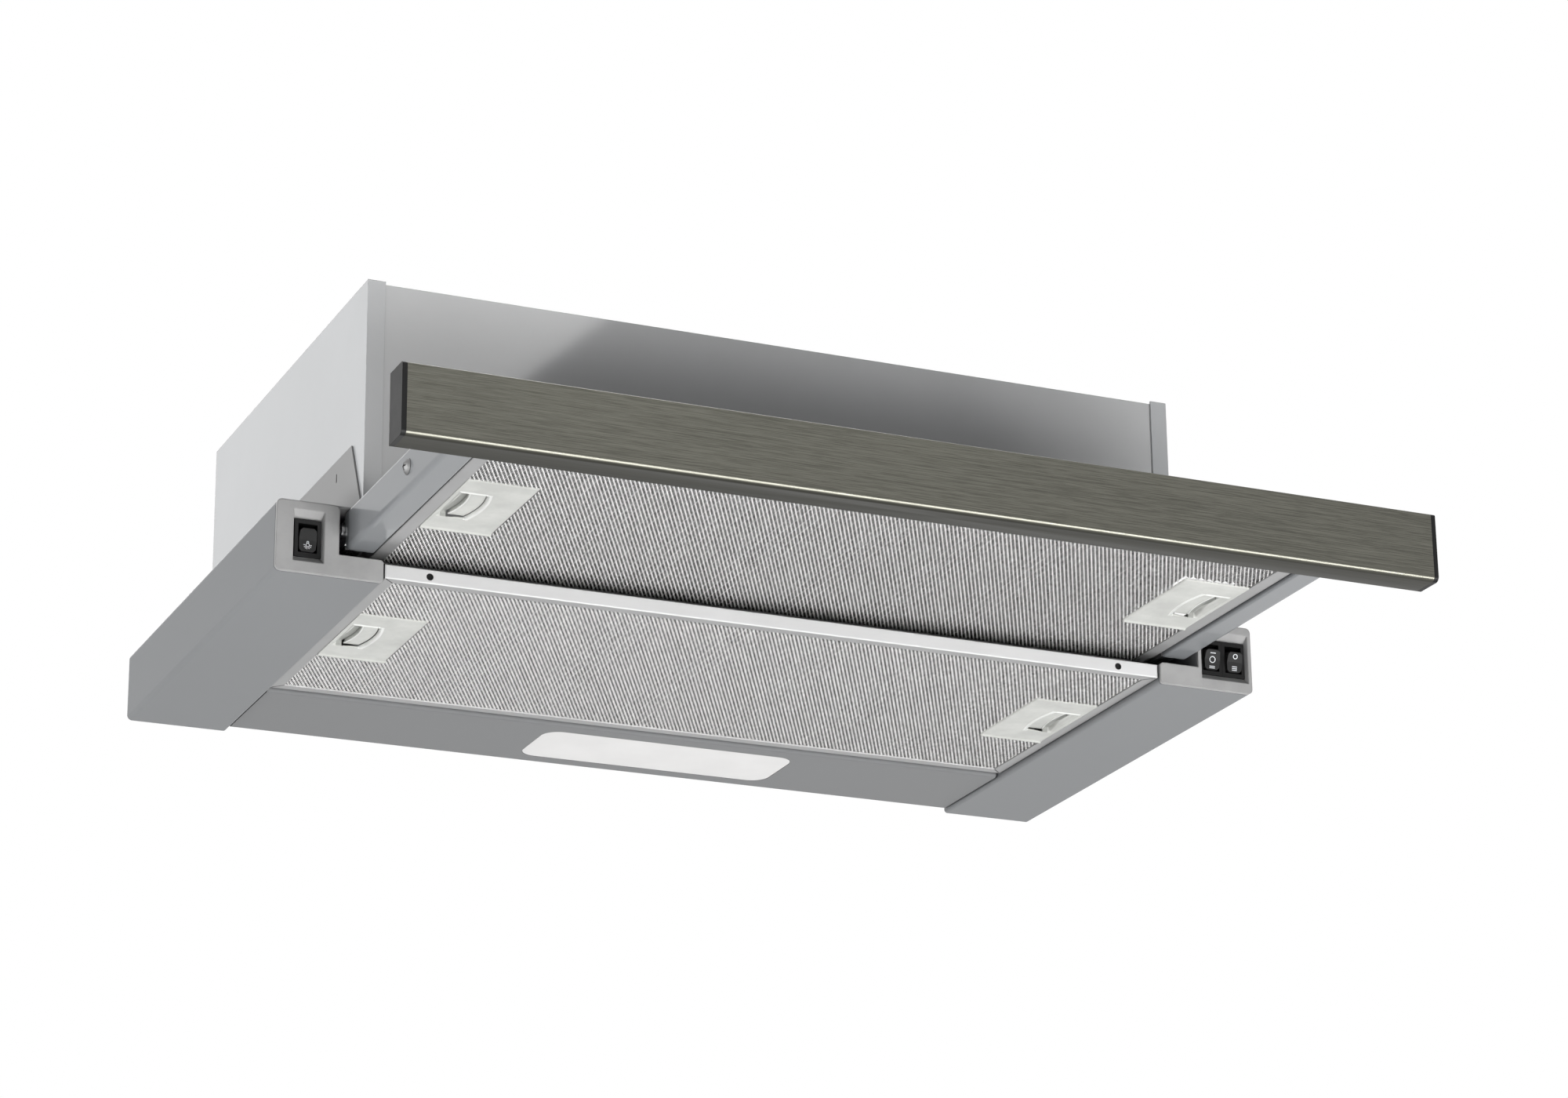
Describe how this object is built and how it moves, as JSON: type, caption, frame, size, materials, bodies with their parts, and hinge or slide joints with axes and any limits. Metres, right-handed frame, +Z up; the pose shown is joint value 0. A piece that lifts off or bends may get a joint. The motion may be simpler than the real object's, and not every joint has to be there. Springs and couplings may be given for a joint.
{
  "type": "pull-out range hood",
  "caption": "Slim pull-out range hood with a steel front panel on a sliding carriage, mesh grease filters with finger latches, a light strip, rocker switches and an inside blower.",
  "frame": {"origin": "middle of the body's rear face at the height of the wall cabinet's underside", "axes": "+X to the right as seen from the front, +Y towards the wall, +Z up; the carriage draws out towards -Y"},
  "size_m": [0.598, 0.4993, 0.2025],
  "materials": {
    "body_steel": "satin",
    "front_steel": "satin",
    "galvanised_steel": "satin",
    "housing_steel": "satin",
    "grey_plastic": "fine grain",
    "black_plastic": "fine grain",
    "casing_plastic": "fine grain",
    "switch_plastic": "semi-gloss",
    "panel_cap_plastic": "fine grain",
    "latch_plastic": "satin",
    "holder_plastic": "satin",
    "wheel_aluminium": "bright",
    "motor_aluminium": "cast",
    "capacitor_aluminium": "bright",
    "zinc_steel": "zinc plated",
    "brushed_panel": "brushed along the width",
    "filter_aluminium": "satin",
    "filter_mat": "bright expanded mesh",
    "frosted_lens": "frosted",
    "bulb_glass": "frosted"
  },
  "bodies": {
    "hood": {"body_wrap": "body_steel", "front_plate": "front_steel", "top_plate": "body_steel", "base_frame": "galvanised_steel", "duct_collar": "black_plastic", "scroll_left": "casing_plastic", "scroll_right": "casing_plastic", "motor_case": "motor_aluminium", "motor_bracket": "zinc_steel", "capacitor": "capacitor_aluminium", "terminal_box": "grey_plastic", "cable_gland": "black_plastic", "left_housing": "housing_steel", "right_housing": "housing_steel", "left_cap": "grey_plastic", "right_cap": "grey_plastic", "left_bracket": "housing_steel", "right_bracket": "housing_steel", "light_switch_frame": "switch_plastic", "speed_switch_frame": "switch_plastic", "boost_switch_frame": "switch_plastic", "left_fixed_slide": "zinc_steel", "right_fixed_slide": "zinc_steel", "rear_filter_frame": "filter_aluminium", "rear_filter_mat": "filter_mat", "rear_left_latch_plate": "latch_plastic", "rear_right_latch_plate": "latch_plastic", "light_strip": "housing_steel", "lamp_lens": "frosted_lens", "lamp_tray": "zinc_steel", "lamp_holder": "holder_plastic", "lamp_bulb": "bulb_glass", "collar_screws": "zinc_steel"},
    "carriage": {"left_moving_slide": "zinc_steel", "right_moving_slide": "zinc_steel", "left_rail": "housing_steel", "right_rail": "housing_steel", "rear_bar": "housing_steel", "front_bar": "housing_steel", "front_panel": "brushed_panel", "left_panel_cap": "panel_cap_plastic", "right_panel_cap": "panel_cap_plastic", "front_filter_frame": "filter_aluminium", "front_filter_mat": "filter_mat", "front_left_latch_plate": "latch_plastic", "front_right_latch_plate": "latch_plastic", "rail_screws": "zinc_steel"},
    "ball_cages": {"left_ball_cage": "zinc_steel", "right_ball_cage": "zinc_steel"},
    "light_rocker": {"light_rocker": "switch_plastic"},
    "speed_rocker": {"speed_rocker": "switch_plastic"},
    "boost_rocker": {"boost_rocker": "switch_plastic"},
    "rear_left_latch": {"rear_left_latch": "latch_plastic"},
    "rear_right_latch": {"rear_right_latch": "latch_plastic"},
    "front_left_latch": {"front_left_latch": "latch_plastic"},
    "front_right_latch": {"front_right_latch": "latch_plastic"},
    "fan": {"fan_wheel": "wheel_aluminium", "motor_shaft": "zinc_steel"},
    "damper_front": {"damper_front": "black_plastic"},
    "damper_rear": {"damper_rear": "black_plastic"}
  },
  "joints": [
    {"name": "carriage_slide", "type": "slide", "parent": "hood", "child": "carriage", "axis": [0, 1, 0], "range_m": [0, 0.188]},
    {"name": "ball_cage_slide", "type": "slide", "parent": "hood", "child": "ball_cages", "axis": [0, 1, 0], "range_m": [0, 0.094]},
    {"name": "light_rocker_tilt", "type": "hinge", "parent": "hood", "child": "light_rocker", "pos_m": [-0.2806, -0.286, -0.0216], "axis": [1, 0, 0], "range_deg": [-20, 0]},
    {"name": "speed_rocker_tilt", "type": "hinge", "parent": "hood", "child": "speed_rocker", "pos_m": [0.27315, -0.286, -0.0216], "axis": [1, 0, 0], "range_deg": [-28, 0]},
    {"name": "boost_rocker_tilt", "type": "hinge", "parent": "hood", "child": "boost_rocker", "pos_m": [0.28805, -0.286, -0.0216], "axis": [1, 0, 0], "range_deg": [-28, 0]},
    {"name": "rear_left_latch_draw", "type": "slide", "parent": "hood", "child": "rear_left_latch", "axis": [1, 0, 0], "range_m": [0, 0.004], "stiffness_N_per_m": 200, "springref_m": -0.01},
    {"name": "rear_right_latch_draw", "type": "slide", "parent": "hood", "child": "rear_right_latch", "axis": [-1, 0, 0], "range_m": [0, 0.004], "stiffness_N_per_m": 200, "springref_m": -0.01},
    {"name": "front_left_latch_draw", "type": "slide", "parent": "carriage", "child": "front_left_latch", "axis": [1, 0, 0], "range_m": [0, 0.004], "stiffness_N_per_m": 200, "springref_m": -0.01},
    {"name": "front_right_latch_draw", "type": "slide", "parent": "carriage", "child": "front_right_latch", "axis": [-1, 0, 0], "range_m": [0, 0.004], "stiffness_N_per_m": 200, "springref_m": -0.01},
    {"name": "fan_spin", "type": "hinge", "parent": "hood", "child": "fan", "pos_m": [0, -0.124, 0.058], "axis": [1, 0, 0], "continuous": true},
    {"name": "damper_front_swing", "type": "hinge", "parent": "hood", "child": "damper_front", "pos_m": [0, -0.151, 0.1384], "axis": [-1, 0, 0], "range_deg": [0, 75]},
    {"name": "damper_rear_swing", "type": "hinge", "parent": "hood", "child": "damper_rear", "pos_m": [0, -0.141, 0.1384], "axis": [1, 0, 0], "range_deg": [0, 75]}
  ],
  "couplings": [
    {"joint": "ball_cage_slide", "follows": "carriage_slide", "ratio": 0.5}
  ]
}
